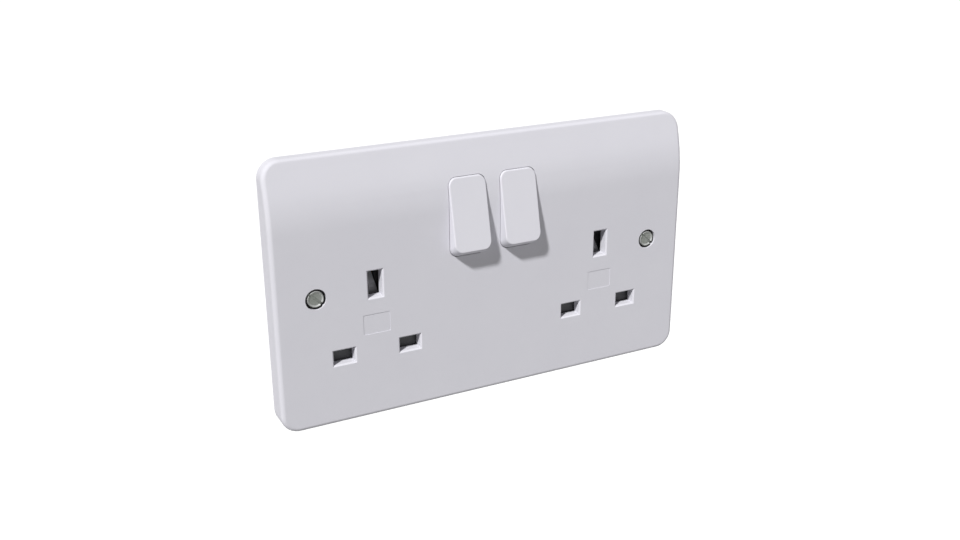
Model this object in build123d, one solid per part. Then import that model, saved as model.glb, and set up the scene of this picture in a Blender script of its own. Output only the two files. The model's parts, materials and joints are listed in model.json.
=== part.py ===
from build123d import *
from math import cos, radians, sin, sqrt
import os

# Double switched wall socket, in millimetres and degrees. X runs to the right, Z up and Y into the
# wall. The wall's face is the plane Y = 0, and the two fixing screws stand on the line Z = 0.

# Front plate
plate_width = 147.0
plate_height = 86.4
plate_depth = 7.8
plate_corner = 6.0
plate_edge_round = 1.3
front_wall = 3.4
side_wall = 2.2
curve_start = 21.0
curve_radius = 54.0
mark_width = 9.0
mark_height = 6.6
mark_corner = 0.4
mark_depth = 0.12
mark_drop = 11.5

# Pins and their slots
outlet_pitch = 82.0
pin_spread = 22.23
pin_row = -20.65
earth_row = 1.58
pin_width = 6.35
pin_thickness = 4.0
earth_pin_width = 4.0
earth_pin_height = 8.0
earth_pin_length = 22.73
slot_room = 0.75
lead_in = 0.45

# Fixing screws
fixing_pitch = 120.6
fixing_head_diameter = 5.3
fixing_head_height = 2.35
fixing_head_chamfer = 0.55
fixing_hole_diameter = 6.75
fixing_sink = 0.15
fixing_neck_diameter = 2.9
fixing_thread_diameter = 3.5
fixing_length = 24.0
fixing_turn = -35.0
tube_diameter = 10.5
tube_gap = 0.4
screw_slot_width = 0.9
screw_slot_depth = 0.8

# Rockers
rocker_pitch = 18.0
rocker_width = 12.8
rocker_radius = 13.22
rocker_corner = 2.6
rocker_face = 6.01
rocker_edge_round = 0.4
rocker_wall = 1.4
rocker_swing = 18.0
rocker_face_lean = 3.2
pivot_depth = 3.9
pivot_height = 18.6
trunnion_diameter = 2.6
trunnion_length = 2.0
hub_diameter = 5.6
stem_diameter = 6.2
stem_reach = 8.7
web_height = 8.0
web_thickness = 2.4

# Plungers and their springs
plunger_diameter = 4.1
plunger_nose_diameter = 3.2
plunger_reach = 12.3
plunger_shank = 6.7
plunger_bore_floor = -3.4

# Moving contacts
blade_width = 5.6
blade_thickness = 1.0
blade_arm = 9.0
blade_swing = 16.0
blade_pin_diameter = 1.0
blade_pin_length = 1.1
tip_radius = 1.9
tip_thickness = 0.9
tip_arm = 7.0

# Conductors
sheet_thickness = 0.8
strip_width = 4.4
bar_width = 5.0
bend_radius = 0.7
clip_grip = 3.6
clip_spread = 5.4
clip_mouth = 6.0
clip_flare = 2.2
ear_thickness = 0.8
ear_height = 3.8
line_bar_thickness = 1.0
level_step = 1.6

# Terminals
terminal_pitch = 10.0
terminal_width = 8.0
terminal_height = 7.4
terminal_depth = 8.0
terminal_corner = 1.0
line_terminal_rise = 1.6
terminal_drop = 6.55
wire_bore = 4.6
wire_entry = 6.6
terminal_screw_diameter = 3.5
terminal_head_diameter = 5.4
terminal_head_height = 1.8
terminal_backed_out = 0.5

# Shutters and their springs
shutter_thickness = 3.0
shutter_cover = 0.8
shutter_travel = 6.0
shutter_stem_width = 4.6
shutter_round = 1.0
ramp_width = 4.2
ramp_top = 1.0
ramp_gusset = 4.0
shutter_spring_length = 11.0

# Coil springs
spring_diameter = 3.0
spring_wire = 0.45
spring_turns = 5
spring_chords = 12

# Contact cover
cover_thickness = 1.6
cover_lip = 1.5
rail_thickness = 1.2
seat_thickness = 1.6
seat_width = 7.0
seat_peg_diameter = 1.6
seat_peg_height = 1.6

# Rear base
base_corner = 5.0
base_wall = 1.8
base_notch = 9.5
base_floor = 1.8
base_edge_round = 1.2
base_room = 0.5
window_room = 1.8
rib_thickness = 2.0
rib_length = 8.0
barrier_thickness = 1.4
barrier_height = 2.6

# Screws that hold the base to the plate
post_diameter = 8.4
boss_diameter = 6.4
base_screw_diameter = 2.9
base_head_diameter = 5.0
base_head_height = 1.9
base_screw_length = 6.2
post_floor = 1.8
post_room = 2.3
upper_post_x = 44.0

# Clearances
rocker_gap = 0.2
pivot_gap = 0.12
slide_gap = 0.3
plunger_gap = 0.1
plunger_nose_gap = 0.2
contact_gap = 0.15
screw_gap = 0.05
hole_gap = 0.3

# Places worked out from those sizes
face = -plate_depth
inner_face = face + front_wall
outlets = {"left": -outlet_pitch / 2, "right": outlet_pitch / 2}
rockers = {"left": -rocker_pitch / 2, "right": rocker_pitch / 2}
fixings = [-fixing_pitch / 2, fixing_pitch / 2]
pivot_y = face + pivot_depth

pin_slot = (pin_width + slot_room, pin_thickness + slot_room)
earth_slot = (earth_pin_width + slot_room, earth_pin_height + slot_room)

# Depths of the moving contact and of the three conductor levels, counted from the rocker's pivot
blade_axis = pivot_y + plunger_reach + plunger_nose_gap + blade_thickness / 2
line_level = blade_axis + blade_thickness / 2 + sheet_thickness
line_back = line_level + sheet_thickness
neutral_level = line_back + level_step
neutral_back = neutral_level + sheet_thickness
earth_level = face + earth_pin_length + slide_gap
fixed_tip_front = blade_axis + blade_thickness / 2 + tip_thickness + contact_gap
line_bar_front = fixed_tip_front + tip_thickness
line_bar_back = line_bar_front + line_bar_thickness
tip_row = pivot_height + tip_arm
run_row = pivot_height - blade_arm
cross_row = (pin_row + earth_row) / 2

shutter_front = inner_face + slide_gap
shutter_back = shutter_front + shutter_thickness
cover_front = shutter_back + slide_gap
cover_back = cover_front + cover_thickness
shutter_width = pin_spread + pin_slot[0] + 2 * shutter_cover
shutter_height = pin_slot[1] + 2 * shutter_cover
shutter_foot = pin_row - shutter_height / 2
spring_seat = shutter_foot - shutter_spring_length
ramp_low = earth_row - earth_pin_height / 2 - slide_gap
ramp_high = ramp_low + shutter_travel
ramp_back = shutter_front + shutter_travel + ramp_top

base_width = outlet_pitch + pin_spread + pin_width + 2 * (base_wall + base_room)
base_front = cover_back
base_inside = earth_level + sheet_thickness
base_back = base_inside + base_floor
rocker_side = rocker_pitch / 2 + rocker_width / 2 + rocker_gap
window_width = 2 * (rocker_side + web_thickness + window_room)
window_foot = pivot_height - rocker_radius - rocker_gap - window_room
window_sill = pivot_y + rocker_radius * sin(radians(rocker_swing / 2 + rocker_face_lean)) + window_room

# The base is as tall as its terminals need, and its posts stand in its upper and lower walls
line_terminal_row = tip_row + line_terminal_rise
terminal_row = pin_row - terminal_drop
base_top = line_terminal_row + terminal_height / 2 + hole_gap + base_wall
base_foot = terminal_row - terminal_height / 2 - hole_gap - base_wall
post_inset = (base_wall + post_diameter) / 2
lower_post_x = terminal_pitch + terminal_width / 2 + post_diameter / 2 + post_room
posts = [
    (side * x, z)
    for side in (-1, 1)
    for x, z in ((upper_post_x, base_top - post_inset), (lower_post_x, base_foot + post_inset))
]
base_head_seat = base_front + post_floor
base_screw_tip = base_head_seat - base_screw_length
terminals = {
    "line_terminal": (0, line_terminal_row, line_bar_front, line_bar_back),
    "neutral_terminal": (-terminal_pitch, terminal_row, neutral_level, neutral_back),
    "earth_terminal_left": (0, terminal_row, earth_level, base_inside),
    "earth_terminal_right": (terminal_pitch, terminal_row, earth_level, base_inside),
}


# A front-view outline set upright at a depth
def upright(outline, depth):
    return Pos(0, depth, 0) * (Plane.XZ * outline)


# A front-view outline made solid between two depths
def slab(outline, front, back):
    return extrude(upright(outline, front), back - front, dir=(0, 1, 0))


# A side-view outline made solid between two places along X
def beam(outline, left, right):
    return Pos(left, 0, 0) * extrude(Plane.YZ * outline, right - left, dir=(1, 0, 0))


# A round bar into the wall
def rod(x, z, diameter, front, back):
    return slab(Pos(x, z) * Circle(diameter / 2), front, back)


# A strip of even width along straight runs, with rounded bends between them
def strip(points, width, bend=0):
    path = FilletPolyline(*points, radius=bend) if bend else Polyline(*points)
    return trace(path, width)


# Side view of the plate's front, which is flat and then curves back, set in by a wall
def front_outline(wall, top):
    front = face + wall
    radius = curve_radius - wall
    back = front + radius
    top_y = back - sqrt(radius**2 - (top - curve_start) ** 2)
    straight = Polyline((top_y, top), (back, top), (back, -top), (front, -top), (front, curve_start))
    curve = TangentArc((front, curve_start), (top_y, top), tangent=(0, 1))
    return make_face(straight + curve)


# The plate's outside or its cavity, each a rounded rectangle cut by the curved front
def plate_form(wall, front):
    width = plate_width - 2 * wall
    height = plate_height - 2 * wall
    outline = RectangleRounded(width, height, plate_corner - wall)
    return slab(outline, face, 0) & beam(front_outline(front, plate_height / 2), -width / 2, width / 2)


# Slots of one outlet as centre and size, seen from the front
def outlet_slots(x):
    return [
        (x, earth_row, earth_slot),
        (x - pin_spread / 2, pin_row, pin_slot),
        (x + pin_spread / 2, pin_row, pin_slot),
    ]


# One pin slot through the front with its chamfered mouth
def slot_cutter(x, z, size):
    width, height = size
    mouth = Pos(x, z) * Rectangle(width + 2 * lead_in, height + 2 * lead_in)
    throat = Pos(x, z) * Rectangle(width, height)
    flare = loft([upright(mouth, face), upright(throat, face + lead_in)])
    return flare + slab(throat, face, inner_face + slide_gap)


# The wheel that a rocker is cut from, turning about X, larger by a gap
def rocker_wheel(gap):
    half_width = rocker_width / 2 + gap
    radius = rocker_radius + gap
    section = Pos(0, radius / 2) * Rectangle(2 * half_width, radius)
    rims = section.vertices().group_by(Axis.Y)[-1]
    return revolve(fillet(rims, rocker_corner + gap), Axis.X)


# Bearing web with a seat for a trunnion that is open to the back
def bearing(left, right, back):
    seat = trunnion_diameter / 2 + pivot_gap
    front = inner_face - front_wall / 2
    web = Pos((front + back) / 2, pivot_height) * Rectangle(back - front, web_height)
    mouth = Pos((pivot_y + back) / 2, pivot_height) * Rectangle(back - pivot_y, 2 * seat)
    return beam(web - mouth, left, right)


def front_plate():
    body = plate_form(0, 0)
    rim = body.edges().filter_by(lambda edge: edge.bounding_box().max.Y < -plate_edge_round)
    seam = rim.filter_by(Axis.X).filter_by_position(Axis.Z, curve_start - lead_in, curve_start + lead_in)
    body = fillet(rim - seam, plate_edge_round)
    body -= plate_form(side_wall, front_wall)

    # Tubes for the fixing screws and bosses for the base's screws, grown out of the front wall
    root = inner_face - front_wall / 2
    for x in fixings:
        body += rod(x, 0, tube_diameter, root, -tube_gap)
    for x, z in posts:
        body += rod(x, z, boss_diameter, root, cover_front)
        body -= rod(x, z, base_screw_diameter + 2 * screw_gap, base_screw_tip - hole_gap, cover_front)

    # Bearing webs between the rockers and outside them
    between = rocker_pitch / 2 - rocker_width / 2 - rocker_gap
    web_back = pivot_y + trunnion_diameter
    body += bearing(-between, between, web_back)
    body += bearing(rocker_side, rocker_side + web_thickness, web_back)
    body += bearing(-rocker_side - web_thickness, -rocker_side, web_back)
    bore = Pos(pivot_y, pivot_height) * Circle(trunnion_diameter / 2 + pivot_gap)
    body -= beam(bore, -rocker_side - web_thickness, rocker_side + web_thickness)
    for x in rockers.values():
        body -= Pos(x, pivot_y, pivot_height) * rocker_wheel(rocker_gap)

    for x in outlets.values():
        for slot in outlet_slots(x):
            body -= slot_cutter(*slot)
        mark = Pos(x, -mark_drop) * RectangleRounded(mark_width, mark_height, mark_corner)
        body -= slab(mark, face, face + mark_depth)
    ledge = face + fixing_sink + fixing_head_height
    for x in fixings:
        body -= rod(x, 0, fixing_hole_diameter, face, ledge)
        body -= rod(x, 0, fixing_thread_diameter + 2 * hole_gap, ledge, -tube_gap)
    return body


def fixing_screw(x):
    front = face + fixing_sink
    ledge = front + fixing_head_height
    thread_start = -tube_gap / 2
    head = rod(x, 0, fixing_head_diameter, front, ledge)
    head = chamfer(head.edges().group_by(Axis.Y)[0], fixing_head_chamfer)
    slot = Pos(x, 0) * Rot(0, 0, fixing_turn) * Rectangle(2 * fixing_head_diameter, screw_slot_width)
    head -= slab(slot, front, front + screw_slot_depth)
    neck = rod(x, 0, fixing_neck_diameter, ledge, thread_start)
    thread = rod(x, 0, fixing_thread_diameter, thread_start, fixing_length)
    thread = chamfer(thread.edges().group_by(Axis.Y)[-1], fixing_head_chamfer)
    return head + neck + thread


# Places a rocker and what rides in it at the off position
def in_rocker(x):
    return Pos(x, pivot_y, pivot_height) * Rot(-rocker_swing / 2, 0, 0)


# Rocker about its own pivot: a wheel cut by the flat face, hollow from the back, on a stem
def rocker():
    reach = 2 * rocker_radius
    keep = Box(reach, rocker_face, reach, align=(Align.CENTER, Align.MAX, Align.CENTER))
    body = rocker_wheel(0) & keep
    body = fillet(body.faces().sort_by(Axis.Y)[0].edges(), rocker_edge_round)
    hollow_depth = rocker_face - rocker_wall
    hollow = Box(
        rocker_width - 2 * rocker_wall,
        hollow_depth,
        reach,
        align=(Align.CENTER, Align.MAX, Align.CENTER),
    )
    body -= rocker_wheel(-rocker_wall) & hollow
    body = Rot(-rocker_face_lean, 0, 0) * body

    half_width = rocker_width / 2
    body += beam(Circle(hub_diameter / 2), -half_width, half_width)
    trunnion = half_width + rocker_gap + trunnion_length
    body += beam(Circle(trunnion_diameter / 2), -trunnion, trunnion)
    body += rod(0, 0, stem_diameter, -hollow_depth, stem_reach)
    return body - rod(0, 0, plunger_diameter + 2 * plunger_gap, plunger_bore_floor, stem_reach)


# Plunger with a round nose, about the rocker's pivot
def plunger():
    nose = plunger_nose_diameter / 2
    shoulder = plunger_reach - nose
    start = shoulder - plunger_shank
    body = rod(0, 0, plunger_diameter, start, shoulder - nose)
    body += rod(0, 0, plunger_nose_diameter, shoulder - nose, shoulder)
    return body + Pos(0, shoulder, 0) * Sphere(nose)


# Coil spring that stands on the XY plane, its six-sided wire on straight chords of a helix
def coil(length):
    rise = length - spring_wire
    radius = (spring_diameter - spring_wire) / 2
    steps = spring_turns * spring_chords
    points = []
    for step in range(steps + 1):
        turn = radians(360 * step / spring_chords)
        points.append((radius * cos(turn), radius * sin(turn), rise * step / steps))
    path = Polyline(*points)
    wire = Plane(path @ 0, z_dir=path % 0) * RegularPolygon(spring_wire / 2, 6)
    return Pos(0, 0, spring_wire / 2) * sweep(wire, path, transition=Transition.RIGHT)


def plunger_spring():
    start = plunger_reach - plunger_nose_diameter / 2 - plunger_shank
    return Pos(0, plunger_bore_floor, 0) * Rot(-90, 0, 0) * coil(start - plunger_bore_floor)


# Moving contact at the off position: the lower arm is upright, the upper arm leans forward
def moving_contact(x):
    lean = radians(blade_swing)
    lower = (blade_axis, pivot_height - blade_arm)
    centre = (blade_axis, pivot_height)
    upper = (blade_axis - blade_arm * sin(lean), pivot_height + blade_arm * cos(lean))
    half_width = blade_width / 2
    outline = strip([lower, centre, upper], blade_thickness, bend_radius)
    blade = beam(outline, x - half_width, x + half_width)
    reach = half_width + slide_gap + blade_pin_length
    return blade + beam(Pos(*centre) * Circle(blade_pin_diameter / 2), x - reach, x + reach)


def moving_tip(x):
    back = blade_axis + blade_thickness / 2
    tip = rod(x, 0, 2 * tip_radius, back, back + tip_thickness)
    arm = Pos(0, 0, tip_arm) * tip
    hinge = Pos(0, blade_axis, pivot_height)
    return hinge * Rot(blade_swing, 0, 0) * Pos(0, -blade_axis, 0) * arm


# Spring clip for a pin: two leaves that pinch and flare, along X with the spread along Y
def clip(front, back, width):
    spread = clip_spread / 2 + sheet_thickness / 2
    grip = clip_grip / 2 + sheet_thickness / 2
    mouth = clip_mouth / 2 + sheet_thickness / 2
    middle = back + sheet_thickness / 2
    path = [(front, mouth), (front + clip_flare, grip), (middle, spread)]
    path += [(depth, -half) for depth, half in reversed(path)]
    return extrude(strip(path, sheet_thickness, bend_radius), width / 2, both=True)


# Clip for a line or neutral pin, gripping it from above and below
def flat_clip(x, back):
    place = Plane((x, 0, pin_row), x_dir=(0, 1, 0), z_dir=(1, 0, 0))
    return place * clip(cover_back + slide_gap, back, pin_width)


# Clip for the earth pin, gripping it from both sides
def upright_clip(x):
    place = Plane((x, 0, earth_row), x_dir=(0, 1, 0), z_dir=(0, 0, 1))
    return place * clip(ramp_back + slide_gap, earth_level, earth_pin_height)


# Line contact of one outlet: clip, strip to the switch and the two ears that carry the blade
def line_contact(side):
    clip_x = outlets[side] + pin_spread / 2
    switch_x = rockers[side]
    riser_x = abs(outlets["left"] + pin_spread / 2) * (-1 if side == "left" else 1)
    path = [(switch_x, pivot_height), (switch_x, run_row), (riser_x, run_row)]
    if clip_x == riser_x:
        path += [(clip_x, pin_row)]
    else:
        path += [(riser_x, cross_row), (clip_x, cross_row), (clip_x, pin_row)]
    body = slab(strip(path, strip_width, strip_width), line_level, line_back)
    body += flat_clip(clip_x, line_level)

    inner = blade_width / 2 + slide_gap
    outer = inner + ear_thickness
    body += slab(Pos(switch_x, pivot_height) * Rectangle(2 * outer, ear_height), line_level, line_back)
    ear_front = blade_axis - blade_thickness / 2
    seat = blade_pin_diameter / 2 + pivot_gap
    ear = Pos((ear_front + line_back) / 2, pivot_height) * Rectangle(line_back - ear_front, ear_height)
    ear -= Pos(blade_axis, pivot_height) * Circle(seat)
    ear -= Pos((ear_front + blade_axis) / 2, pivot_height) * Rectangle(blade_axis - ear_front, 2 * seat)
    body += beam(ear, switch_x - outer, switch_x - inner)
    return body + beam(ear, switch_x + inner, switch_x + outer)


# Tab behind a terminal block with a hole for its screw
def terminal_tab(name, start_row):
    x, row, front, back = terminals[name]
    end_row = row + (terminal_height / 2 if row > start_row else -terminal_height / 2)
    tab = strip([(x, start_row), (x, end_row)], terminal_width)
    return slab(tab - Pos(x, row) * Circle(terminal_screw_diameter / 2 + hole_gap), front, back)


def line_bar():
    reach = rocker_pitch / 2 + bar_width / 2
    bar = slab(strip([(-reach, tip_row), (reach, tip_row)], bar_width), line_bar_front, line_bar_back)
    x, row, front, back = terminals["line_terminal"]
    bar -= rod(x, row, terminal_screw_diameter + 2 * hole_gap, front, back)
    return bar + terminal_tab("line_terminal", tip_row - bar_width / 2)


def fixed_tip(x):
    return rod(x, tip_row, 2 * tip_radius, fixed_tip_front, line_bar_front)


def neutral_bar():
    clips = [x - pin_spread / 2 for x in outlets.values()]
    ends = [(x, pin_row) for x in clips]
    body = slab(strip(ends, pin_thickness), neutral_level, neutral_back)
    for x in clips:
        body += flat_clip(x, neutral_level)
    return body + terminal_tab("neutral_terminal", pin_row)


def earth_bar():
    ends = [(x, earth_row) for x in outlets.values()]
    body = slab(strip(ends, bar_width), earth_level, base_inside)
    for x in outlets.values():
        body += upright_clip(x)
    body += terminal_tab("earth_terminal_left", earth_row)
    return body + terminal_tab("earth_terminal_right", earth_row)


# Depth of a terminal's wire bore, in the middle of the block in front of its tab
def wire_depth(front):
    return front - terminal_depth / 2


def terminal_block(name):
    x, row, front, back = terminals[name]
    outline = Pos(x, row) * RectangleRounded(terminal_width, terminal_height, terminal_corner)
    block = slab(outline, front - terminal_depth, front)
    block -= Pos(x, wire_depth(front), row) * Cylinder(wire_bore / 2, 2 * terminal_height)
    return block - rod(x, row, terminal_screw_diameter + 2 * screw_gap, wire_depth(front), front)


def terminal_screw(name):
    x, row, front, back = terminals[name]
    head_front = back + terminal_backed_out
    shank = rod(x, row, terminal_screw_diameter, wire_depth(front) + wire_bore / 2, head_front)
    head = rod(x, row, terminal_head_diameter, head_front, head_front + terminal_head_height)
    slot = Pos(x, row) * Rectangle(2 * terminal_head_diameter, screw_slot_width)
    head_back = head_front + terminal_head_height
    return shank + head - slab(slot, head_back - screw_slot_depth, head_back)


def shutter(x):
    bar = Pos(x, pin_row) * RectangleRounded(shutter_width, shutter_height, shutter_round)
    body = slab(bar, shutter_front, shutter_back)
    body += slab(strip([(x, pin_row), (x, ramp_low)], shutter_stem_width), shutter_front, shutter_back)
    ramp = Polygon(
        (shutter_front, ramp_low - ramp_gusset),
        (shutter_front, ramp_low),
        (ramp_back - ramp_top, ramp_high),
        (ramp_back, ramp_high),
        (ramp_back, ramp_low),
        (shutter_back, ramp_low - ramp_gusset),
        align=None,
    )
    return body + beam(ramp, x - ramp_width / 2, x + ramp_width / 2)


def shutter_spring(x):
    return Pos(x, (shutter_front + shutter_back) / 2, spring_seat) * coil(shutter_spring_length)


# Outline shared by the base and the contact cover, with room for the wall box's lugs, set in
def base_outline(inset):
    width = base_width - 2 * inset
    height = base_top - base_foot - 2 * inset
    outline = Pos(0, (base_top + base_foot) / 2) * RectangleRounded(width, height, base_corner - inset)
    for x in fixings:
        outline -= Pos(x, 0) * Circle(base_notch + inset)
    return outline


def contact_cover():
    body = slab(base_outline(-cover_lip), cover_front, cover_back)
    window_height = base_top + 2 * cover_lip - window_foot
    window = Pos(0, window_foot + window_height / 2) * Rectangle(window_width, window_height)
    body -= slab(window, cover_front, cover_back)
    for x, z in posts:
        body -= rod(x, z, base_screw_diameter + 2 * hole_gap, cover_front, cover_back)

    rail_x = shutter_width / 2 + slide_gap + rail_thickness / 2
    rail_top = pin_row + shutter_height / 2 + slide_gap + rail_thickness / 2
    rail_foot = shutter_foot - shutter_travel
    ramp_foot = ramp_low - ramp_gusset - shutter_travel - slide_gap
    ramp_head = earth_row + earth_slot[1] / 2
    peg_depth = (shutter_front + shutter_back) / 2
    for x in outlets.values():
        # Pin slots, and the longer slot in which the ramp slides
        for slot_x, slot_z, size in outlet_slots(x)[1:]:
            body -= slab(Pos(slot_x, slot_z) * Rectangle(*size), cover_front, cover_back)
        ramp_slot = strip([(x, ramp_foot), (x, ramp_head)], ramp_width + 2 * slide_gap)
        body -= slab(ramp_slot, cover_front, cover_back)

        # Guide rails with a stop over the shutter's ends, and the seat of its spring
        for side in (-1, 1):
            end = x + side * (shutter_width / 2 - rail_thickness)
            path = [(x + side * rail_x, rail_foot), (x + side * rail_x, rail_top), (end, rail_top)]
            body += slab(strip(path, rail_thickness, rail_thickness), inner_face, cover_front)
        tab_foot = spring_seat - seat_thickness
        body += slab(strip([(x, base_foot), (x, tab_foot)], seat_width), cover_front, cover_back)
        seat = strip([(x, spring_seat), (x, tab_foot)], seat_width)
        body += slab(seat, shutter_front, cover_front)
        body += Pos(x, peg_depth, spring_seat) * Cylinder(seat_peg_diameter / 2, 2 * seat_peg_height)
    return body


# Rib that rises from the base's floor to carry a conductor
def rib(x, z, width, height, front):
    return slab(Pos(x, z) * Rectangle(width, height), front, base_inside)


def rear_base():
    body = slab(base_outline(0), base_front, base_back)
    body = fillet(body.faces().sort_by(Axis.Y)[-1].edges(), base_edge_round)
    body -= slab(base_outline(base_wall), base_front, base_inside)
    sill = Pos(0, base_top) * Rectangle(window_width, 4 * base_wall)
    body -= slab(sill, base_front, window_sill)

    # Hollow posts that take the screws from behind
    for x, z in posts:
        body += rod(x, z, post_diameter, base_front, base_inside)
        body -= rod(x, z, base_screw_diameter + 2 * screw_gap, base_front, base_back)
        body -= rod(x, z, base_head_diameter + 2 * hole_gap, base_head_seat, base_back)

    # Ribs under the line strips, the neutral bar, the line bar and the blades
    riser = outlet_pitch / 2 - pin_spread / 2
    for side in (-1, 1):
        switch_x = side * rocker_pitch / 2
        body += rib(switch_x, pivot_height, bar_width, ear_height, line_back)
        body += rib(switch_x, tip_row, bar_width, rib_thickness, line_bar_back)
        body += rib(side * (riser - rib_length), run_row, rib_length, rib_thickness, line_back)
    body += rib(-riser, cross_row, rib_thickness, rib_length, line_back)
    body += rib(riser + rib_length, cross_row, rib_length, rib_thickness, line_back)
    for x in (-outlet_pitch / 2, -riser + rib_length, riser - rib_length):
        body += rib(x, pin_row, rib_thickness, pin_thickness, neutral_back)

    # Posts that keep the rockers' trunnions in their bearings
    keeper = pivot_y + trunnion_diameter / 2 + contact_gap
    outer_web = rocker_side + web_thickness / 2
    for x in (-outer_web, 0, outer_web):
        body += rib(x, pivot_height, rib_thickness, trunnion_diameter - 2 * pivot_gap, keeper)

    # Barriers between the terminals, on the back
    barrier_row = (terminal_row + terminal_height / 2, terminal_row - terminal_height / 2)
    for step in (-3, -1, 1, 3):
        x = step * terminal_pitch / 2
        barrier = strip([(x, row) for row in barrier_row], barrier_thickness)
        body += slab(barrier, base_inside, base_back + barrier_height)

    # Ways in for the wires and for a screwdriver
    for x, row, front, back in terminals.values():
        edge = base_top if row > pivot_height else base_foot
        body -= Pos(x, wire_depth(front), edge) * Box(wire_entry, wire_entry, 4 * base_wall)
        body -= rod(x, row, terminal_head_diameter + 2 * hole_gap, base_inside, base_back)
    return body


def base_screw(x, z):
    shank = rod(x, z, base_screw_diameter, base_screw_tip, base_head_seat)
    head_back = base_head_seat + base_head_height
    head = rod(x, z, base_head_diameter, base_head_seat, head_back)
    slot = Pos(x, z) * Rectangle(2 * base_head_diameter, screw_slot_width)
    return shank + head - slab(slot, head_back - screw_slot_depth, head_back)


pieces = {
    "front_plate": front_plate(),
    "contact_cover": contact_cover(),
    "rear_base": rear_base(),
    "line_bar": line_bar(),
    "neutral_bar": neutral_bar(),
    "earth_bar": earth_bar(),
    "fixing_screws": Compound(children=[fixing_screw(x) for x in fixings]),
    "base_screws": Compound(children=[base_screw(x, z) for x, z in posts]),
    "terminal_screws": Compound(children=[terminal_screw(name) for name in terminals]),
}
for name in terminals:
    pieces[name] = terminal_block(name)
for side, x in rockers.items():
    pieces[f"rocker_{side}"] = in_rocker(x) * rocker()
    pieces[f"plunger_{side}"] = in_rocker(x) * plunger()
    pieces[f"plunger_spring_{side}"] = in_rocker(x) * plunger_spring()
    pieces[f"moving_contact_{side}"] = moving_contact(x)
    pieces[f"moving_tip_{side}"] = moving_tip(x)
    pieces[f"fixed_tip_{side}"] = fixed_tip(x)
    pieces[f"line_contact_{side}"] = line_contact(side)
for side, x in outlets.items():
    pieces[f"shutter_{side}"] = shutter(x)
    pieces[f"shutter_spring_{side}"] = shutter_spring(x)

os.makedirs("parts", exist_ok=True)
for name, piece in pieces.items():
    export_step(piece, f"parts/{name}.step")
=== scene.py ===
import json
import math

import bmesh
import bpy
from mathutils import Matrix, Quaternion, Vector


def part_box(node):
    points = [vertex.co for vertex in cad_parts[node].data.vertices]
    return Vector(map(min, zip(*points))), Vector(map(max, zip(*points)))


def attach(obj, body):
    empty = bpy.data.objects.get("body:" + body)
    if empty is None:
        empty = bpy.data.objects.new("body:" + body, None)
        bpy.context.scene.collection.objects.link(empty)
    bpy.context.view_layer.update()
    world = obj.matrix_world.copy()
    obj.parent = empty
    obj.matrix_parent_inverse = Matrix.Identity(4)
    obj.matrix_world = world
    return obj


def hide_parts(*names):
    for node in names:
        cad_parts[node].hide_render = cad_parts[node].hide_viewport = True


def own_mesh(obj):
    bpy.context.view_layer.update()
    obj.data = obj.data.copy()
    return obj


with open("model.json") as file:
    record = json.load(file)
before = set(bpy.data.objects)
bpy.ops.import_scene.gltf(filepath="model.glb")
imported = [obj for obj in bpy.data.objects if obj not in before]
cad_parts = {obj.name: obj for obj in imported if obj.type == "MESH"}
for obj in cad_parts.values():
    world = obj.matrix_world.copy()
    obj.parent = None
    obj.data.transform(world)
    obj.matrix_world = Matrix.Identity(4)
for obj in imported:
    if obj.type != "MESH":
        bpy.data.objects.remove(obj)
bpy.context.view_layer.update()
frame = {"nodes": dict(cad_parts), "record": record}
scene = bpy.context.scene
scene.view_settings.view_transform = "Standard"
mm = 0.001
fixingHalf = 60.3  # half the distance between the fixing screws, in mm
mergeGap = 0.001 * mm  # corners nearer than this are one
cutSnap = 0.004 * mm  # corners nearer than this to a cut lie on it
print("frame loaded,", len(frame["nodes"]), "nodes")


# a value inside a finish; an operator on it adds a Math node
class Reading:
    def __init__(self, finish, socket):
        self.finish = finish
        self.socket = socket

    def __add__(self, other):
        return self.finish.maths("ADD", self, other)

    def __radd__(self, other):
        return self.finish.maths("ADD", other, self)

    def __sub__(self, other):
        return self.finish.maths("SUBTRACT", self, other)

    def __rsub__(self, other):
        return self.finish.maths("SUBTRACT", other, self)

    def __mul__(self, other):
        return self.finish.maths("MULTIPLY", self, other)

    def __rmul__(self, other):
        return self.finish.maths("MULTIPLY", other, self)

    def __gt__(self, other):
        return self.finish.maths("GREATER_THAN", self, other)

    def __lt__(self, other):
        return self.finish.maths("LESS_THAN", self, other)

    def __abs__(self):
        return self.finish.maths("ABSOLUTE", self, 0)


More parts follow.
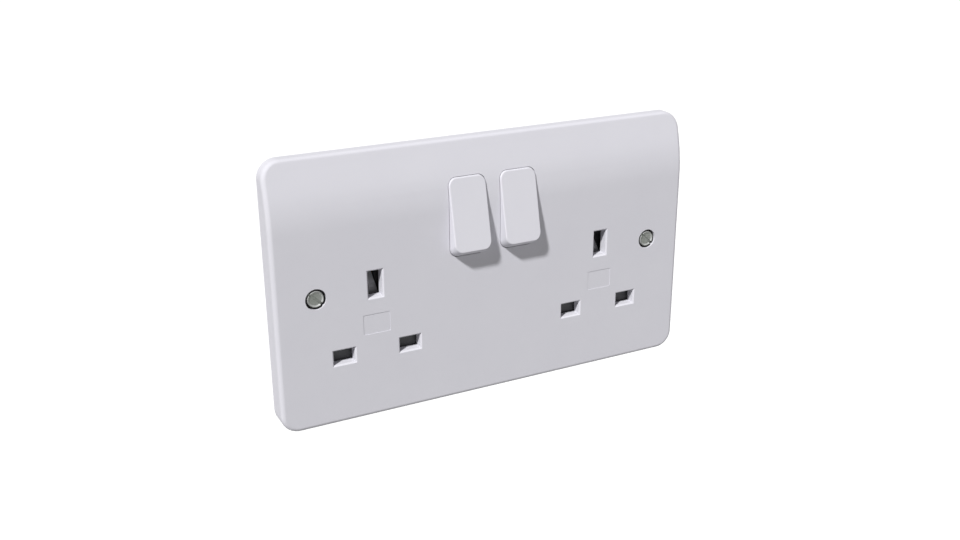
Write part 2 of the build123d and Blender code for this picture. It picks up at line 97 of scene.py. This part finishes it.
# a node tree of a material or of the world, and the one way to add to it
class Finish:
    def __init__(self, owner):
        owner.use_nodes = True
        self.owner = owner
        self.tree = owner.node_tree
        self.tree.nodes.clear()

    def add(self, kind, settings=None, inputs=None, output=0):
        node = self.tree.nodes.new(kind)
        for name, value in (settings or {}).items():
            if name == "stops":
                for stop, (place, colour) in zip(node.color_ramp.elements, value):
                    stop.position = place
                    stop.color = colour
            else:
                setattr(node, name, value)
        for name, value in (inputs or {}).items():
            if isinstance(value, Reading):
                self.tree.links.new(value.socket, node.inputs[name])
            else:
                node.inputs[name].default_value = value
        return Reading(self, node.outputs[output]) if node.outputs else None

    def maths(self, operation, first, second):
        return self.add("ShaderNodeMath", {"operation": operation}, {0: first, 1: second})

    # a Mix of colours keeps its factor, its two colours and its result at these places
    def blend(self, amount, first, second):
        return self.add("ShaderNodeMix", {"data_type": "RGBA"}, {0: amount, 6: first, 7: second}, output=2)

    # noise on the piece's own coordinates, its scale in marks per metre along each axis
    def noise(self, scale, detail=2, rough=0.5):
        place = self.add("ShaderNodeTexCoord", output="Object")
        place = self.add("ShaderNodeMapping", {}, {"Vector": place, "Scale": scale})
        inputs = {"Vector": place, "Scale": 1.0, "Detail": detail, "Roughness": rough}
        return self.add("ShaderNodeTexNoise", {}, inputs)

    # one axis of the piece's own coordinates, or of a direction in the world
    def along(self, axis, space="Object"):
        place = self.add("ShaderNodeTexCoord", output=space)
        return self.add("ShaderNodeSeparateXYZ", {}, {"Vector": place}, output=axis)

    def bump(self, height, distance):
        return self.add("ShaderNodeBump", {}, {"Strength": 1.0, "Distance": distance, "Height": height})

    def surface(self, inputs):
        shader = self.add("ShaderNodeBsdfPrincipled", {}, inputs)
        self.add("ShaderNodeOutputMaterial", {}, {"Surface": shader})
        return self.owner


# a screen colour of 0 to 255, on the standard curve
def srgb(red, green, blue):
    def linear(level):
        level = level / 255
        return level / 12.92 if level <= 0.04045 else ((level + 0.055) / 1.055) ** 2.4

    return (linear(red), linear(green), linear(blue), 1.0)


def newObject(name, mesh, materials):
    data = bpy.data.meshes.new(name)
    mesh.to_mesh(data)
    mesh.free()
    for material in materials:
        data.materials.append(material)
    made = bpy.data.objects.new(name, data)
    scene.collection.objects.link(made)
    return made


# camera at the photograph's viewpoint, in mm; the nearest thing it shows is in metres
viewpoint = {
    "eye": (-153.6, -298.7, 122.6),
    "target": (-4.89, -7.8, -0.16),
    "roll": -0.28,
    "lens": 40.61,
    "sensor": 36.0,
    "nearest": 0.01,
}


def placeCamera():
    eye = Vector(viewpoint["eye"]) * mm
    aim = Vector(viewpoint["target"]) * mm - eye
    turn = aim.to_track_quat("-Z", "Y") @ Quaternion((0, 0, 1), math.radians(viewpoint["roll"]))
    camera = bpy.data.objects.new("camera", bpy.data.cameras.new("camera"))
    camera.data.lens = viewpoint["lens"]
    camera.data.sensor_width = viewpoint["sensor"]
    camera.data.clip_start = viewpoint["nearest"]
    camera.matrix_world = Matrix.Translation(eye) @ turn.to_matrix().to_4x4()
    scene.collection.objects.link(camera)
    scene.camera = camera


# studio: a key from the upper left and a floor far below, in pale surroundings
# that are brighter on the right and dimmer overhead
studio = {
    "keyFrom": (-1.43, -1.0, 1.81),
    "keyStrength": 4.05,
    "keySpread": 5.0,
    "surround": 0.51,
    "leanRight": 0.32,
    "dimAbove": 0.46,
    "floorDrop": 0.6,
    "floorReach": 60.0,
    "floorShown": 0.98,
    "floorBounce": 0.32,
}


# 1 for a ray that shows the background, 0 for one that lights the socket
def shownRay(finish):
    sees = finish.add("ShaderNodeLightPath", output="Is Camera Ray")
    sees = sees + finish.add("ShaderNodeLightPath", output="Is Glossy Ray")
    return sees + finish.add("ShaderNodeLightPath", output="Is Transmission Ray")


def buildStudio():
    lamp = bpy.data.lights.new("key", "SUN")
    lamp.energy = studio["keyStrength"]
    lamp.angle = math.radians(studio["keySpread"])
    key = bpy.data.objects.new("key", lamp)
    key.rotation_mode = "QUATERNION"
    key.rotation_quaternion = (-Vector(studio["keyFrom"])).to_track_quat("-Z", "Y")
    scene.collection.objects.link(key)

    scene.world = bpy.data.worlds.new("surroundings")
    sky = Finish(scene.world)
    level = studio["surround"] + sky.along("X", "Generated") * studio["leanRight"]
    level = sky.maths("MAXIMUM", level - sky.along("Z", "Generated") * studio["dimAbove"], 0)
    seen = shownRay(sky)
    level = seen + (1 - seen) * level
    glow = sky.add("ShaderNodeBackground", {}, {"Color": (1, 1, 1, 1), "Strength": level})
    sky.add("ShaderNodeOutputWorld", {}, {"Surface": glow})

    paper = Finish(bpy.data.materials.new("floorPaper"))
    shown = paper.add("ShaderNodeBsdfDiffuse", {}, {"Color": (studio["floorShown"],) * 3 + (1,)})
    bounce = paper.add("ShaderNodeBsdfDiffuse", {}, {"Color": (studio["floorBounce"],) * 3 + (1,)})
    mixed = paper.add("ShaderNodeMixShader", {}, {0: shownRay(paper), 1: bounce, 2: shown})
    paper.add("ShaderNodeOutputMaterial", {}, {"Surface": mixed})
    mesh = bmesh.new()
    bmesh.ops.create_grid(mesh, x_segments=1, y_segments=1, size=studio["floorReach"] / 2)
    bmesh.ops.translate(mesh, verts=mesh.verts, vec=(0, 0, -studio["floorDrop"]))
    floor = newObject("floor", mesh, [paper.owner])


noiseMiddle = 0.5
plasticIndex = 1.5  # index of refraction of the mouldings


# roughness that wanders about its middle with a broad and a fine noise
def unevenRoughness(look, broad, fine):
    fineSpread = look["roughSpread"] * look.get("fineShare", 1)
    rough = look["roughness"] + (broad - noiseMiddle) * look["roughSpread"]
    return rough + (fine - noiseMiddle) * fineSpread


# satin white moulding of the plate and the rockers, with painted shade inside the sinks of the fixing screws
whiteLook = {
    "colour": srgb(214, 213, 219),
    "cloud": srgb(209, 208, 215),
    "cloudScale": (55, 55, 55),
    "gloss": 0.1,
    "roughness": 0.64,
    "roughSpread": 0.10,
    "fineShare": 0.5,
    "peelScale": (620, 620, 620),
    "peelDepth": 0.0025 * mm,
    "grainScale": (5200, 5200, 5200),
    "grainDepth": 0.0012 * mm,
    # painted shade: a dark colour deep inside the sinks of the fixing screws, where shade falls
    "sinkShadeColour": srgb(96, 95, 97),
    "sinkShadeBehind": -6.95 * mm,
    "sinkShadeRadius": 3.6 * mm,
}


def whiteMoulding(name, look):
    finish = Finish(bpy.data.materials.new(name))
    cloud = finish.noise(look["cloudScale"], detail=4, rough=0.55)
    peel = finish.noise(look["peelScale"])
    grain = finish.noise(look["grainScale"])
    height = peel * look["peelDepth"] + grain * look["grainDepth"]
    # painted shade: the colour darkens behind the front face within the sinks of the fixing screws
    across = abs(finish.along("X")) - fixingHalf * mm
    up = finish.along("Z")
    inRing = across * across + up * up < look["sinkShadeRadius"] ** 2
    sinkShadeMask = inRing * (finish.along("Y") > look["sinkShadeBehind"])
    colour = finish.blend(cloud, look["colour"], look["cloud"])
    return finish.surface({
        "Base Color": finish.blend(sinkShadeMask, colour, look["sinkShadeColour"]),
        "Roughness": unevenRoughness(look, cloud, grain),
        "Normal": finish.bump(height, 1.0),  # its height is in metres already
        "IOR": plasticIndex,
        "Specular IOR Level": look["gloss"],
    })


# plain mouldings that stay behind the plate; the shutters carry painted light, paler and streaked towards the
# top, behind the earth slots
innerLook = {
    "colour": srgb(222, 220, 214),
    "cloud": srgb(206, 204, 197),
    "flowScale": (38, 150, 60),
    "roughness": 0.52,
    "roughSpread": 0.16,
    "grainScale": (2600, 2600, 2600),
    "grainDepth": 0.006 * mm,
}
coverLook = {
    "colour": srgb(62, 62, 66),
    "cloud": srgb(48, 48, 51),
    "flowScale": (60, 160, 44),
    "roughness": 0.5,
    "roughSpread": 0.16,
    "grainScale": (2400, 2400, 2400),
    "grainDepth": 0.007 * mm,
}
shutterLook = {
    "colour": srgb(45, 45, 49),
    "cloud": srgb(36, 36, 39),
    # painted light: a pale colour on the shutters' upper part, standing in for the light that falls into the
    # earth slots
    "paintedLight": srgb(222, 222, 226),
    "paintedLightFrom": -2.4 * mm,
    "paintedLightOver": 2.4 * mm,
    "paintedLightLeast": 0.65,
    "paintedLightStreak": 0.6,
    "streakScale": (2300, 90, 90),
    "flowScale": (120, 260, 90),
    "roughness": 0.45,
    "roughSpread": 0.18,
    "grainScale": (2200, 2200, 2200),
    "grainDepth": 0.008 * mm,
}
nylonLook = {
    "colour": srgb(214, 208, 190),
    "cloud": srgb(196, 189, 168),
    "flowScale": (300, 90, 300),
    "roughness": 0.42,
    "roughSpread": 0.12,
    "grainScale": (4200, 4200, 4200),
    "grainDepth": 0.003 * mm,
}


def plainMoulding(name, look):
    finish = Finish(bpy.data.materials.new(name))
    flow = finish.noise(look["flowScale"], detail=5, rough=0.6)
    grain = finish.noise(look["grainScale"], detail=3)
    colour = finish.blend(flow, look["colour"], look["cloud"])
    # painted light: the shutter grows paler and streaked towards the top
    if "paintedLight" in look:
        top = look["paintedLightFrom"] + look["paintedLightOver"]
        inputs = {"Value": finish.along("Z"), "From Min": look["paintedLightFrom"], "From Max": top}
        rise = finish.add("ShaderNodeMapRange", {}, inputs)
        streak = finish.noise(look["streakScale"])
        amount = rise * (look["paintedLightLeast"] + streak * look["paintedLightStreak"])
        colour = finish.blend(amount, colour, look["paintedLight"])
    return finish.surface({
        "Base Color": colour,
        "Roughness": unevenRoughness(look, flow, grain),
        "Normal": finish.bump(grain, look["grainDepth"]),
        "IOR": plasticIndex,
    })


# pressed and turned metal: drawn lines and dull patches
brassLook = {
    "colour": srgb(214, 178, 106),
    "dull": srgb(168, 126, 70),
    "patchScale": (160, 160, 160),
    "lineScale": (180, 2400, 2400),
    "lineDepth": 0.004 * mm,
    "roughness": 0.27,
    "roughSpread": 0.22,
    "metal": 1.0,
}
tipLook = {
    "colour": srgb(222, 220, 214),
    "dull": srgb(176, 172, 163),
    "patchScale": (700, 700, 700),
    "lineScale": (2600, 2600, 2600),
    "lineDepth": 0.003 * mm,
    "roughness": 0.3,
    "roughSpread": 0.2,
    "metal": 1.0,
}
screwLook = {
    "colour": srgb(134, 137, 133),
    "dull": srgb(122, 126, 120),
    "patchScale": (520, 520, 520),
    "lineScale": (900, 3600, 900),
    "lineDepth": 0.003 * mm,
    "roughness": 0.46,
    "roughSpread": 0.22,
    "metal": 0.6,
}
# painted sheen: a paler, less metallic copy of the screw metal on everything but a head's flat face, so that
# the rim shows a highlight
screwPaintedSheenLook = {
    "colour": srgb(172, 173, 172),
    "dull": srgb(156, 158, 156),
    "patchScale": (520, 520, 520),
    "lineScale": (1200, 5200, 1200),
    "lineDepth": 0.002 * mm,
    "roughness": 0.5,
    "roughSpread": 0.16,
    "metal": 0.2,
}
springLook = {
    "colour": srgb(186, 187, 189),
    "dull": srgb(140, 141, 144),
    "patchScale": (900, 900, 900),
    "lineScale": (3200, 3200, 3200),
    "lineDepth": 0.002 * mm,
    "roughness": 0.24,
    "roughSpread": 0.18,
    "metal": 1.0,
}
dullStops = [(0.38, (0, 0, 0, 1)), (0.66, (1, 1, 1, 1))]  # noise levels where a dull patch starts and is full


def workedMetal(name, look):
    finish = Finish(bpy.data.materials.new(name))
    patch = finish.noise(look["patchScale"], detail=5, rough=0.6)
    lines = finish.noise(look["lineScale"])
    dull = finish.add("ShaderNodeValToRGB", {"stops": dullStops}, {"Fac": patch})
    return finish.surface({
        "Base Color": finish.blend(dull, look["colour"], look["dull"]),
        "Roughness": unevenRoughness(look, patch, lines),
        "Metallic": look["metal"],
        "Normal": finish.bump(lines, look["lineDepth"]),
    })


finishes = {
    "white_moulding": whiteMoulding("whiteMoulding", whiteLook),
    "inner_moulding": plainMoulding("innerMoulding", innerLook),
    "cover_moulding": plainMoulding("coverMoulding", coverLook),
    "shutter": plainMoulding("shutterMoulding", shutterLook),
    "plunger": plainMoulding("plungerNylon", nylonLook),
    "brass": workedMetal("pressedBrass", brassLook),
    "contact_tip": workedMetal("silverTip", tipLook),
    "screw": workedMetal("platedScrew", screwLook),
    "screwPaintedSheen": workedMetal("screwPaintedSheen", screwPaintedSheenLook),
    "spring": workedMetal("springSteel", springLook),
}
slotOf = {part["node"]: part["material_slot"] for part in frame["record"]["subparts"]}
for node, piece in frame["nodes"].items():
    for place in piece.material_slots:
        place.material = finishes[slotOf[node]]
print("finishes:", len(finishes))


# closed turned form about the Y axis, from points of radius and depth
def turnedForm(points, steps):
    mesh = bmesh.new()
    corners = [mesh.verts.new((radius * mm, depth * mm, 0)) for radius, depth in points]
    edges = [mesh.edges.new(pair) for pair in zip(corners, corners[1:])]
    bmesh.ops.spin(mesh, geom=corners + edges, axis=(0, 1, 0), angle=math.tau, steps=steps, use_merge=True)
    bmesh.ops.remove_doubles(mesh, verts=mesh.verts, dist=mergeGap)
    bmesh.ops.recalc_face_normals(mesh, faces=mesh.faces)
    return mesh


def closeHoles(mesh):
    bmesh.ops.holes_fill(mesh, edges=[edge for edge in mesh.edges if edge.is_boundary])


# cuts away what lies outside a plane and closes the cut
def cutFlat(mesh, point, outward):
    geom = mesh.verts[:] + mesh.edges[:] + mesh.faces[:]
    bmesh.ops.bisect_plane(
        mesh, geom=geom, dist=cutSnap, plane_co=point, plane_no=outward, clear_outer=True
    )
    closeHoles(mesh)


easedAngle = 34  # edges that turn by more than this are eased


def easeEdges(mesh, width):
    limit = math.radians(easedAngle)
    hard = [edge for edge in mesh.edges if edge.is_manifold and edge.calc_face_angle() > limit]
    bmesh.ops.bevel(
        mesh, geom=hard, offset=width * mm, segments=2, profile=0.5,
        affect="EDGES", material=-1, clamp_overlap=True,
    )
    bmesh.ops.dissolve_degenerate(mesh, edges=mesh.edges, dist=mergeGap)


# gathers meshes into one
def gather(meshes):
    whole = bmesh.new()
    for mesh in meshes:
        data = bpy.data.meshes.new("gathered")
        mesh.to_mesh(data)
        mesh.free()
        whole.from_mesh(data)
        bpy.data.meshes.remove(data)
    return whole


def shadeSmooth(mesh, angle):
    for face in mesh.faces:
        face.smooth = True
    for edge in mesh.edges:
        edge.smooth = not edge.is_manifold or edge.calc_face_angle() < math.radians(angle)


# the plate with the photograph's softer edge, and an upper slope that runs straight to the top
softPlate = {
    "depth": 7.8,
    "halfWidth": 73.5,
    "halfHeight": 43.2,
    "corner": 6.0,
    "curveStart": 21.0,
    "curveRadius": 54.0,
    "slope": 14.5,
    "solidRound": 1.3,
    "round": 1.5,
    "reach": 1.35,  # the rounding lies within this of the sharp edge
    "shadeAngle": 32,
}


# height above the curve's start at which the straight slope begins
def bendRise(look):
    return look["curveRadius"] * math.sin(math.radians(look["slope"]))


# how far the plate's front has dropped back at a height: on the solid's curve, or on the straight slope
def frontDrop(look, z, straight):
    radius = look["curveRadius"]
    rise = max(z - look["curveStart"], 0)
    curved = min(rise, bendRise(look)) if straight else rise
    drop = radius - math.sqrt(radius**2 - curved**2)
    return drop + (rise - curved) * math.tan(math.radians(look["slope"]))


# where a point of the solid plate goes, in mm
def softPoint(look, point):
    x, y, z = point
    y *= (look["depth"] - frontDrop(look, z, True)) / (look["depth"] - frontDrop(look, z, False))
    # the nearest point of the plate's sharp edge, about which its rounding is enlarged
    corner = look["corner"]
    inX = min(abs(x), look["halfWidth"] - corner)
    inZ = min(abs(z), look["halfHeight"] - corner)
    out = Vector((abs(x) - inX, abs(z) - inZ))
    if out.length > corner - look["reach"]:
        out = out.normalized() * corner
        edge = Vector((math.copysign(inX + out[0], x), 0, math.copysign(inZ + out[1], z)))
        edge.y = frontDrop(look, edge.z, True) - look["depth"]
        if y - edge.y < look["reach"]:
            return edge + (Vector((x, y, z)) - edge) * (look["round"] / look["solidRound"])
    return Vector((x, y, z))


def softenPlate(look):
    mesh = bmesh.new()
    mesh.from_mesh(frame["nodes"]["front_plate"].data)
    bmesh.ops.remove_doubles(mesh, verts=mesh.verts, dist=mergeGap)
    bend = (0, 0, (look["curveStart"] + bendRise(look)) * mm)
    geom = mesh.verts[:] + mesh.edges[:] + mesh.faces[:]
    bmesh.ops.bisect_plane(mesh, geom=geom, dist=mergeGap, plane_co=bend, plane_no=(0, 0, 1))
    for vert in mesh.verts:
        vert.co = softPoint(look, vert.co / mm) * mm
    shadeSmooth(mesh, look["shadeAngle"])
    piece = newObject("softPlate", mesh, [finishes["white_moulding"]])
    level = piece.modifiers.new("evenShading", "WEIGHTED_NORMAL")
    level.keep_sharp = True
    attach(piece, "socket")
    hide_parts("front_plate")


softenPlate(softPlate)
print("plate softened")

# what all screws share: the tooth's crest and root as shares of one pitch, and the parts of a head
# that count as its flat face
anyScrew = {
    "crestFrom": 0.36,
    "crestTo": 0.5,
    "rootFrom": 0.86,
    "flatLimit": 0.93,
    "shadeAngle": 32,
}


# a thread: one tooth spun along a helix, then cut square at both ends
def woundThread(look):
    root, crest, pitch, steps = look["root"], look["crest"], look["pitch"], look["threadSteps"]
    tooth = [
        (root, 0),
        (crest, anyScrew["crestFrom"]),
        (crest, anyScrew["crestTo"]),
        (root, anyScrew["rootFrom"]),
        (root, 1),
    ]
    first = look["threadFrom"] - pitch
    turns = math.ceil((look["threadTo"] - first) / pitch) + 1
    mesh = bmesh.new()
    corners = [mesh.verts.new((radius * mm, (first + share * pitch) * mm, 0)) for radius, share in tooth]
    edges = [mesh.edges.new(pair) for pair in zip(corners, corners[1:])]
    rise = (0, pitch * mm / steps, 0)
    bmesh.ops.spin(
        mesh, geom=corners + edges, axis=(0, 1, 0), dvec=rise, angle=math.tau * turns, steps=turns * steps
    )
    bmesh.ops.remove_doubles(mesh, verts=mesh.verts, dist=mergeGap)
    cutFlat(mesh, (0, look["threadFrom"] * mm, 0), (0, -1, 0))
    cutFlat(mesh, (0, look["threadTo"] * mm, 0), (0, 1, 0))
    bmesh.ops.recalc_face_normals(mesh, faces=mesh.faces)
    return mesh


# a slotted screw along Y: two halves of the head beside the slot, the turned rest and the thread
def slottedScrew(look):
    across = Matrix.Rotation(math.radians(-look["slotTurn"]), 3, "Y") @ Vector((0, 0, 1))
    parts = []
    for side in (-1, 1):
        half = turnedForm(look["crown"], look["headSteps"])
        cutFlat(half, across * side * look["slotWidth"] / 2 * mm, -across * side)
        easeEdges(half, look["edge"])
        parts.append(half)
    stem = turnedForm(look["stem"], look["headSteps"])
    easeEdges(stem, look["edge"])
    return gather(parts + [stem, woundThread(look)])


# all screws of one kind as one piece, each at its place and depth
def placeScrews(name, node, look, places):
    rows = []
    for x, depth, z in places:
        screw = slottedScrew(look)
        bmesh.ops.translate(screw, verts=screw.verts, vec=(x * mm, depth * mm, z * mm))
        rows.append(screw)
    whole = gather(rows)
    # the flat face takes the screw metal, the rest its paler copy with painted sheen for the rim's highlight
    for face in whole.faces:
        face.material_index = 0 if face.normal.y * look["facing"] > anyScrew["flatLimit"] else 1
    shadeSmooth(whole, anyScrew["shadeAngle"])
    piece = newObject(name, whole, [finishes["screw"], finishes["screwPaintedSheen"]])
    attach(piece, "socket")
    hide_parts(node)


# fixing screws: heads dished inside a raised rim, on a machine thread
fixingScrews = {
    "facing": -1,
    "crown": [
        (0, -7.24), (2.02, -7.25), (2.34, -7.65), (2.5, -7.65), (2.6, -7.5), (2.62, -6.95), (0, -6.95),
    ],
    "stem": [
        (0, -6.95), (2.62, -6.95), (2.65, -6.85), (2.65, -5.3), (1.45, -5.3),
        (1.45, -0.2), (1.36, -0.2), (1.36, 23.5), (0.9, 24.0), (0, 24.0),
    ],
    "slotTurn": -42.0,
    "slotWidth": 0.8,
    "edge": 0.04,
    "headSteps": 56,
    "root": 1.35,
    "crest": 1.75,
    "pitch": 0.6,
    "threadFrom": -0.2,
    "threadTo": 23.6,
    "threadSteps": 18,
}
fixings = [(side * fixingHalf, 0, 0) for side in (-1, 1)]
placeScrews("fixingScrews", "fixing_screws", fixingScrews, fixings)

# base screws: pan heads from behind, each cutting its own thread in a boss of the plate
baseScrews = {
    "upper": (44.0, 27.9),
    "lower": (20.5, -27.9),
    "facing": 1,
    "crown": [(0, 2.7), (2.5, 2.7), (2.42, 3.1), (2.1, 3.38), (1.6, 3.5), (0, 3.5)],
    "stem": [(0, -4.6), (0.35, -4.6), (1.1, -3.4), (1.1, 1.6), (2.5, 1.6), (2.5, 2.7), (0, 2.7)],
    "slotTurn": 0.0,
    "slotWidth": 0.9,
    "edge": 0.06,
    "headSteps": 40,
    "root": 1.08,
    "crest": 1.45,
    "pitch": 1.1,
    "threadFrom": -3.3,
    "threadTo": 1.5,
    "threadSteps": 18,
}
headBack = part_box("base_screws")[1][1] / mm - baseScrews["crown"][-1][1]
corners = [(side * x, headBack, z) for side in (-1, 1) for x, z in (baseScrews["upper"], baseScrews["lower"])]
placeScrews("baseScrews", "base_screws", baseScrews, corners)

# terminal screws: cheese heads that stand off their tabs, a little backed out
terminalScrews = {
    "standOff": {
        "line_terminal": 1.5,
        "neutral_terminal": 1.3,
        "earth_terminal_left": 1.3,
        "earth_terminal_right": 1.3,
    },
    "facing": 1,
    "crown": [(0, 1.0), (2.7, 1.0), (2.7, 1.55), (2.45, 1.8), (0, 1.8)],
    "stem": [(0, -3.0), (1.2, -3.0), (1.36, -2.8), (1.36, 0), (2.7, 0), (2.7, 1.0), (0, 1.0)],
    "slotTurn": 0.0,
    "slotWidth": 0.9,
    "edge": 0.06,
    "headSteps": 40,
    "root": 1.35,
    "crest": 1.75,
    "pitch": 0.6,
    "threadFrom": -2.9,
    "threadTo": -0.05,
    "threadSteps": 20,
}
heads = []
for node, standOff in terminalScrews["standOff"].items():
    low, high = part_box(node)
    heads.append(((low[0] + high[0]) / 2 / mm, high[1] / mm + standOff, (low[2] + high[2]) / 2 / mm))
placeScrews("terminalScrews", "terminal_screws", terminalScrews, heads)
print("screws made")

# rings that the mould's ejector pins leave on the back of the base, which its barriers stand out from
baseMarks = {
    "barrier": 2.6,
    "radius": 2.4,
    "bead": 0.22,
    "proud": 0.14,
    "steps": 36,
    "places": [(50, -23), (50, 17), (27, 6), (27, -12), (0, 12), (0, -8)],
}
# and on the inside of the plate's front wall, in the margin around the base
plateMarks = {
    "frontWall": 3.4,
    "radius": 1.7,
    "bead": 0.18,
    "proud": 0.12,
    "steps": 30,
    "places": [(66.5, -34), (66.5, -15), (66.5, 15), (44, -37.8), (12, -37.8)],
}
ringShadeAngle = 50


def mouldRings(name, slot, look, back):
    radius, bead = look["radius"], look["bead"]
    top = back + look["proud"]
    sunk = back - look["proud"]
    section = [
        (radius - bead, sunk),
        (radius - bead / 2, top),
        (radius + bead / 2, top),
        (radius + bead, sunk),
        (radius - bead, sunk),
    ]
    rings = []
    for x, z in sorted({(side * x, z) for side in (-1, 1) for x, z in look["places"]}):
        ring = turnedForm(section, look["steps"])
        bmesh.ops.translate(ring, verts=ring.verts, vec=(x * mm, 0, z * mm))
        rings.append(ring)
    whole = gather(rings)
    shadeSmooth(whole, ringShadeAngle)
    piece = newObject(name, whole, [finishes[slot]])
    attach(piece, "socket")


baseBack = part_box("rear_base")[1][1] / mm - baseMarks["barrier"]
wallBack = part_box("front_plate")[0][1] / mm + plateMarks["frontWall"]
mouldRings("baseMouldRings", "inner_moulding", baseMarks, baseBack)
mouldRings("plateMouldRings", "white_moulding", plateMarks, wallBack)
print("mould rings made")


# a coil on the XY plane: a ring of wire spun up its turns, closed turns at both ends
def woundSpring(look, length):
    wire, steps = look["wire"], look["steps"]
    closedRise = look["closedTurns"] * look["closedRise"]
    closedEnd = (look["closedTurns"], closedRise)
    mesh = bmesh.new()
    bmesh.ops.create_circle(mesh, segments=look["sides"], radius=wire / 2 * mm)
    bmesh.ops.rotate(mesh, verts=mesh.verts, matrix=Matrix.Rotation(math.radians(90), 3, "X"))
    bmesh.ops.translate(mesh, verts=mesh.verts, vec=((look["diameter"] - wire) / 2 * mm, 0, wire / 2 * mm))
    end = mesh.verts[:] + mesh.edges[:]
    for turns, rise in (closedEnd, (look["openTurns"], length - wire - 2 * closedRise), closedEnd):
        count = int(turns * steps)
        lift = (0, 0, rise * mm / count)
        spun = bmesh.ops.spin(
            mesh, geom=end, axis=(0, 0, 1), dvec=lift, angle=math.tau * turns, steps=count
        )
        end = spun["geom_last"]
    closeHoles(mesh)
    bmesh.ops.recalc_face_normals(mesh, faces=mesh.faces)
    shadeSmooth(mesh, look["shadeAngle"])
    return mesh


def placeSpring(name, node, mesh, place, body):
    bmesh.ops.transform(mesh, matrix=place, verts=mesh.verts)
    piece = newObject(name, mesh, [finishes["spring"]])
    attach(piece, body)
    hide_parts(node)
    return piece


# springs under the shutters and behind the plungers, in spring steel wire
coilSprings = {
    "diameter": 3.0,
    "wire": 0.45,
    "closedTurns": 1,
    "closedRise": 0.47,
    "openTurns": 4,
    "steps": 24,
    "sides": 10,
    "shadeAngle": 60,
    "shutterLength": 11.0,
    "shutterTravel": 6.0,
    "plungerLength": 7.4,
    "plungerTravel": 1.2,
    "plungerBore": 3.4,
}
joints = {joint["name"]: joint for joint in frame["record"]["behaviour"]["joints"]}
for side in ("left", "right"):
    node = f"shutter_spring_{side}"
    low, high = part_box(node)
    seat = Vector(((low[0] + high[0]) / 2, (low[1] + high[1]) / 2, low[2]))
    length, travel = coilSprings["shutterLength"], coilSprings["shutterTravel"]
    coil = woundSpring(coilSprings, length)
    spring = placeSpring(f"shutterSpring.{side}", node, coil, Matrix.Translation(seat), "socket")
    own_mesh(spring)

    node = f"plunger_spring_{side}"
    pivot = Vector(joints[f"rocker_{side}_hinge"]["pos_m"])
    axis = -Vector(joints[f"plunger_{side}_slide"]["axis"])
    seat = pivot - axis * coilSprings["plungerBore"] * mm
    place = Matrix.Translation(seat) @ axis.to_track_quat("Z", "Y").to_matrix().to_4x4()
    length, travel = coilSprings["plungerLength"], coilSprings["plungerTravel"]
    coil = woundSpring(coilSprings, length)
    spring = placeSpring(f"plungerSpring.{side}", node, coil, place, f"rocker_{side}")
    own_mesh(spring)
print("springs made")

placeCamera()
buildStudio()
print("camera and studio placed")
